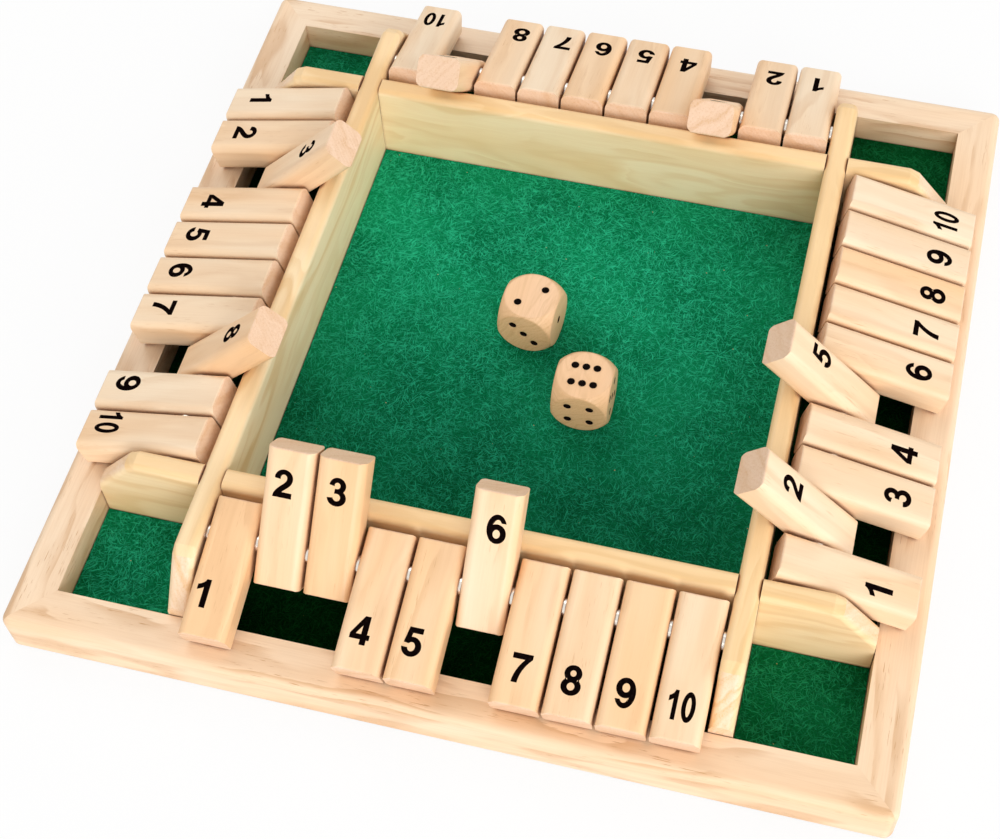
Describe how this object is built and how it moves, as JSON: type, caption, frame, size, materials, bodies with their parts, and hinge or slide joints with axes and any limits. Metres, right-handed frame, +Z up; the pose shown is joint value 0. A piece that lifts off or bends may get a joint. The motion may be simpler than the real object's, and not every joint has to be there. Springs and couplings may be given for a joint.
{
  "type": "four-player shut-the-box game",
  "caption": "Square wooden dice tray with green felt; each side has a row of numbered wooden tiles that flip over on a steel rod. Loose wooden dice lie in the middle.",
  "frame": {"origin": "on the table, under the middle of the square tray", "axes": "+Z up; the front row, whose tiles read 1 to 10 from left to right, faces -Y; +X to the right"},
  "size_m": [0.3, 0.3, 0.0605],
  "materials": {
    "frame_wood": "clear satin varnish",
    "divider_wood": "clear satin varnish",
    "base_wood": "bare plywood",
    "tile_wood": "clear satin varnish",
    "die_wood": "smooth, lightly varnished",
    "green_felt": "short felt",
    "rod_steel": "drawn wire",
    "washer_steel": "zinc plated"
  },
  "bodies": {
    "tray": {"front_rail": "frame_wood", "right_rail": "frame_wood", "back_rail": "frame_wood", "left_rail": "frame_wood", "base_board": "base_wood", "felt_lining": "green_felt", "front_divider": "divider_wood", "right_divider": "divider_wood", "back_divider": "divider_wood", "left_divider": "divider_wood", "front_rod": "rod_steel", "right_rod": "rod_steel", "back_rod": "rod_steel", "left_rod": "rod_steel", "front_washers": "washer_steel", "right_washers": "washer_steel", "back_washers": "washer_steel", "left_washers": "washer_steel"},
    "front_tile_1": {"front_tile_1": "tile_wood"},
    "front_tile_2": {"front_tile_2": "tile_wood"},
    "front_tile_3": {"front_tile_3": "tile_wood"},
    "front_tile_4": {"front_tile_4": "tile_wood"},
    "front_tile_5": {"front_tile_5": "tile_wood"},
    "front_tile_6": {"front_tile_6": "tile_wood"},
    "front_tile_7": {"front_tile_7": "tile_wood"},
    "front_tile_8": {"front_tile_8": "tile_wood"},
    "front_tile_9": {"front_tile_9": "tile_wood"},
    "front_tile_10": {"front_tile_10": "tile_wood"},
    "right_tile_1": {"right_tile_1": "tile_wood"},
    "right_tile_2": {"right_tile_2": "tile_wood"},
    "right_tile_3": {"right_tile_3": "tile_wood"},
    "right_tile_4": {"right_tile_4": "tile_wood"},
    "right_tile_5": {"right_tile_5": "tile_wood"},
    "right_tile_6": {"right_tile_6": "tile_wood"},
    "right_tile_7": {"right_tile_7": "tile_wood"},
    "right_tile_8": {"right_tile_8": "tile_wood"},
    "right_tile_9": {"right_tile_9": "tile_wood"},
    "right_tile_10": {"right_tile_10": "tile_wood"},
    "back_tile_1": {"back_tile_1": "tile_wood"},
    "back_tile_2": {"back_tile_2": "tile_wood"},
    "back_tile_3": {"back_tile_3": "tile_wood"},
    "back_tile_4": {"back_tile_4": "tile_wood"},
    "back_tile_5": {"back_tile_5": "tile_wood"},
    "back_tile_6": {"back_tile_6": "tile_wood"},
    "back_tile_7": {"back_tile_7": "tile_wood"},
    "back_tile_8": {"back_tile_8": "tile_wood"},
    "back_tile_9": {"back_tile_9": "tile_wood"},
    "back_tile_10": {"back_tile_10": "tile_wood"},
    "left_tile_1": {"left_tile_1": "tile_wood"},
    "left_tile_2": {"left_tile_2": "tile_wood"},
    "left_tile_3": {"left_tile_3": "tile_wood"},
    "left_tile_4": {"left_tile_4": "tile_wood"},
    "left_tile_5": {"left_tile_5": "tile_wood"},
    "left_tile_6": {"left_tile_6": "tile_wood"},
    "left_tile_7": {"left_tile_7": "tile_wood"},
    "left_tile_8": {"left_tile_8": "tile_wood"},
    "left_tile_9": {"left_tile_9": "tile_wood"},
    "left_tile_10": {"left_tile_10": "tile_wood"},
    "die_1": {"die_1": "die_wood"},
    "die_2": {"die_2": "die_wood"}
  },
  "joints": [
    {"name": "front_tile_1_hinge", "type": "hinge", "parent": "tray", "child": "front_tile_1", "pos_m": [-0.07785, -0.1092, 0.0308], "axis": [-1, 0, 0], "range_deg": [0, 147.54]},
    {"name": "front_tile_2_hinge", "type": "hinge", "parent": "tray", "child": "front_tile_2", "pos_m": [-0.06055, -0.1092, 0.0308], "axis": [-1, 0, 0], "range_deg": [-147.54, 0]},
    {"name": "front_tile_3_hinge", "type": "hinge", "parent": "tray", "child": "front_tile_3", "pos_m": [-0.04325, -0.1092, 0.0308], "axis": [-1, 0, 0], "range_deg": [-147.54, 0]},
    {"name": "front_tile_4_hinge", "type": "hinge", "parent": "tray", "child": "front_tile_4", "pos_m": [-0.02595, -0.1092, 0.0308], "axis": [-1, 0, 0], "range_deg": [0, 147.54]},
    {"name": "front_tile_5_hinge", "type": "hinge", "parent": "tray", "child": "front_tile_5", "pos_m": [-0.00865, -0.1092, 0.0308], "axis": [-1, 0, 0], "range_deg": [0, 147.54]},
    {"name": "front_tile_6_hinge", "type": "hinge", "parent": "tray", "child": "front_tile_6", "pos_m": [0.00865, -0.1092, 0.0308], "axis": [-1, 0, 0], "range_deg": [-147.54, 0]},
    {"name": "front_tile_7_hinge", "type": "hinge", "parent": "tray", "child": "front_tile_7", "pos_m": [0.02595, -0.1092, 0.0308], "axis": [-1, 0, 0], "range_deg": [0, 147.54]},
    {"name": "front_tile_8_hinge", "type": "hinge", "parent": "tray", "child": "front_tile_8", "pos_m": [0.04325, -0.1092, 0.0308], "axis": [-1, 0, 0], "range_deg": [0, 147.54]},
    {"name": "front_tile_9_hinge", "type": "hinge", "parent": "tray", "child": "front_tile_9", "pos_m": [0.06055, -0.1092, 0.0308], "axis": [-1, 0, 0], "range_deg": [0, 147.54]},
    {"name": "front_tile_10_hinge", "type": "hinge", "parent": "tray", "child": "front_tile_10", "pos_m": [0.07785, -0.1092, 0.0308], "axis": [-1, 0, 0], "range_deg": [0, 132.99]},
    {"name": "right_tile_1_hinge", "type": "hinge", "parent": "tray", "child": "right_tile_1", "pos_m": [0.1092, -0.07785, 0.0308], "axis": [0, -1, 0], "range_deg": [0, 147.54]},
    {"name": "right_tile_2_hinge", "type": "hinge", "parent": "tray", "child": "right_tile_2", "pos_m": [0.1092, -0.06055, 0.0308], "axis": [0, -1, 0], "range_deg": [-147.54, 0]},
    {"name": "right_tile_3_hinge", "type": "hinge", "parent": "tray", "child": "right_tile_3", "pos_m": [0.1092, -0.04325, 0.0308], "axis": [0, -1, 0], "range_deg": [0, 147.54]},
    {"name": "right_tile_4_hinge", "type": "hinge", "parent": "tray", "child": "right_tile_4", "pos_m": [0.1092, -0.02595, 0.0308], "axis": [0, -1, 0], "range_deg": [0, 147.54]},
    {"name": "right_tile_5_hinge", "type": "hinge", "parent": "tray", "child": "right_tile_5", "pos_m": [0.1092, -0.00865, 0.0308], "axis": [0, -1, 0], "range_deg": [-147.54, 0]},
    {"name": "right_tile_6_hinge", "type": "hinge", "parent": "tray", "child": "right_tile_6", "pos_m": [0.1092, 0.00865, 0.0308], "axis": [0, -1, 0], "range_deg": [0, 147.54]},
    {"name": "right_tile_7_hinge", "type": "hinge", "parent": "tray", "child": "right_tile_7", "pos_m": [0.1092, 0.02595, 0.0308], "axis": [0, -1, 0], "range_deg": [0, 147.54]},
    {"name": "right_tile_8_hinge", "type": "hinge", "parent": "tray", "child": "right_tile_8", "pos_m": [0.1092, 0.04325, 0.0308], "axis": [0, -1, 0], "range_deg": [0, 147.54]},
    {"name": "right_tile_9_hinge", "type": "hinge", "parent": "tray", "child": "right_tile_9", "pos_m": [0.1092, 0.06055, 0.0308], "axis": [0, -1, 0], "range_deg": [0, 147.54]},
    {"name": "right_tile_10_hinge", "type": "hinge", "parent": "tray", "child": "right_tile_10", "pos_m": [0.1092, 0.07785, 0.0308], "axis": [0, -1, 0], "range_deg": [0, 132.99]},
    {"name": "back_tile_1_hinge", "type": "hinge", "parent": "tray", "child": "back_tile_1", "pos_m": [0.07785, 0.1092, 0.0308], "axis": [1, 0, 0], "range_deg": [0, 147.54]},
    {"name": "back_tile_2_hinge", "type": "hinge", "parent": "tray", "child": "back_tile_2", "pos_m": [0.06055, 0.1092, 0.0308], "axis": [1, 0, 0], "range_deg": [0, 147.54]},
    {"name": "back_tile_3_hinge", "type": "hinge", "parent": "tray", "child": "back_tile_3", "pos_m": [0.04325, 0.1092, 0.0308], "axis": [1, 0, 0], "range_deg": [-147.54, 0]},
    {"name": "back_tile_4_hinge", "type": "hinge", "parent": "tray", "child": "back_tile_4", "pos_m": [0.02595, 0.1092, 0.0308], "axis": [1, 0, 0], "range_deg": [0, 147.54]},
    {"name": "back_tile_5_hinge", "type": "hinge", "parent": "tray", "child": "back_tile_5", "pos_m": [0.00865, 0.1092, 0.0308], "axis": [1, 0, 0], "range_deg": [0, 147.54]},
    {"name": "back_tile_6_hinge", "type": "hinge", "parent": "tray", "child": "back_tile_6", "pos_m": [-0.00865, 0.1092, 0.0308], "axis": [1, 0, 0], "range_deg": [0, 147.54]},
    {"name": "back_tile_7_hinge", "type": "hinge", "parent": "tray", "child": "back_tile_7", "pos_m": [-0.02595, 0.1092, 0.0308], "axis": [1, 0, 0], "range_deg": [0, 147.54]},
    {"name": "back_tile_8_hinge", "type": "hinge", "parent": "tray", "child": "back_tile_8", "pos_m": [-0.04325, 0.1092, 0.0308], "axis": [1, 0, 0], "range_deg": [0, 147.54]},
    {"name": "back_tile_9_hinge", "type": "hinge", "parent": "tray", "child": "back_tile_9", "pos_m": [-0.06055, 0.1092, 0.0308], "axis": [1, 0, 0], "range_deg": [-147.54, 0]},
    {"name": "back_tile_10_hinge", "type": "hinge", "parent": "tray", "child": "back_tile_10", "pos_m": [-0.07785, 0.1092, 0.0308], "axis": [1, 0, 0], "range_deg": [0, 132.99]},
    {"name": "left_tile_1_hinge", "type": "hinge", "parent": "tray", "child": "left_tile_1", "pos_m": [-0.1092, 0.07785, 0.0308], "axis": [0, 1, 0], "range_deg": [0, 147.54]},
    {"name": "left_tile_2_hinge", "type": "hinge", "parent": "tray", "child": "left_tile_2", "pos_m": [-0.1092, 0.06055, 0.0308], "axis": [0, 1, 0], "range_deg": [0, 147.54]},
    {"name": "left_tile_3_hinge", "type": "hinge", "parent": "tray", "child": "left_tile_3", "pos_m": [-0.1092, 0.04325, 0.0308], "axis": [0, 1, 0], "range_deg": [-147.54, 0]},
    {"name": "left_tile_4_hinge", "type": "hinge", "parent": "tray", "child": "left_tile_4", "pos_m": [-0.1092, 0.02595, 0.0308], "axis": [0, 1, 0], "range_deg": [0, 147.54]},
    {"name": "left_tile_5_hinge", "type": "hinge", "parent": "tray", "child": "left_tile_5", "pos_m": [-0.1092, 0.00865, 0.0308], "axis": [0, 1, 0], "range_deg": [0, 147.54]},
    {"name": "left_tile_6_hinge", "type": "hinge", "parent": "tray", "child": "left_tile_6", "pos_m": [-0.1092, -0.00865, 0.0308], "axis": [0, 1, 0], "range_deg": [0, 147.54]},
    {"name": "left_tile_7_hinge", "type": "hinge", "parent": "tray", "child": "left_tile_7", "pos_m": [-0.1092, -0.02595, 0.0308], "axis": [0, 1, 0], "range_deg": [0, 147.54]},
    {"name": "left_tile_8_hinge", "type": "hinge", "parent": "tray", "child": "left_tile_8", "pos_m": [-0.1092, -0.04325, 0.0308], "axis": [0, 1, 0], "range_deg": [-147.54, 0]},
    {"name": "left_tile_9_hinge", "type": "hinge", "parent": "tray", "child": "left_tile_9", "pos_m": [-0.1092, -0.06055, 0.0308], "axis": [0, 1, 0], "range_deg": [0, 147.54]},
    {"name": "left_tile_10_hinge", "type": "hinge", "parent": "tray", "child": "left_tile_10", "pos_m": [-0.1092, -0.07785, 0.0308], "axis": [0, 1, 0], "range_deg": [0, 132.99]},
    {"name": "die_1_lift", "type": "slide", "parent": "tray", "child": "die_1", "axis": [0, 0, 1], "range_m": [0, 0.15]},
    {"name": "die_2_lift", "type": "slide", "parent": "tray", "child": "die_2", "axis": [0, 0, 1], "range_m": [0, 0.15]}
  ]
}
